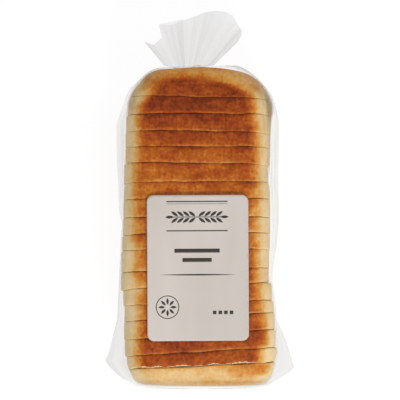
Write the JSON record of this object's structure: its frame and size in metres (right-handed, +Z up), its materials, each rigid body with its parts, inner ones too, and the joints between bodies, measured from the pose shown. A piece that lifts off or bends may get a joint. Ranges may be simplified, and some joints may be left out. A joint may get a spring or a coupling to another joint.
{
  "type": "sliced loaf in a clear bread bag",
  "caption": "Sliced white sandwich loaf lying in a clear film bag with a gathered neck, a pleated loose tail and a plain paper label on top.",
  "frame": {"origin": "on the flat underside, straight below the middle of the loaf", "axes": "+Z up, out of the loaf's base crust towards its top crust; +Y along the loaf from the bag's closed end to its gathered neck; +X to the right of someone who reads the label"},
  "size_m": [0.1605, 0.3266, 0.1147],
  "materials": {
    "bag_film": "clear thin polyethylene film over bread, glossy, with soft creases",
    "label_paper": "matt coated paper label, warm grey",
    "label_ink": "matt dark brown ink",
    "crust": "baked crust, brown on top and pale at the shoulders, with cream crumb at the cuts"
  },
  "bodies": {
    "root": {"bag": "bag_film", "label": "label_paper"}
  },
  "joints": []
}
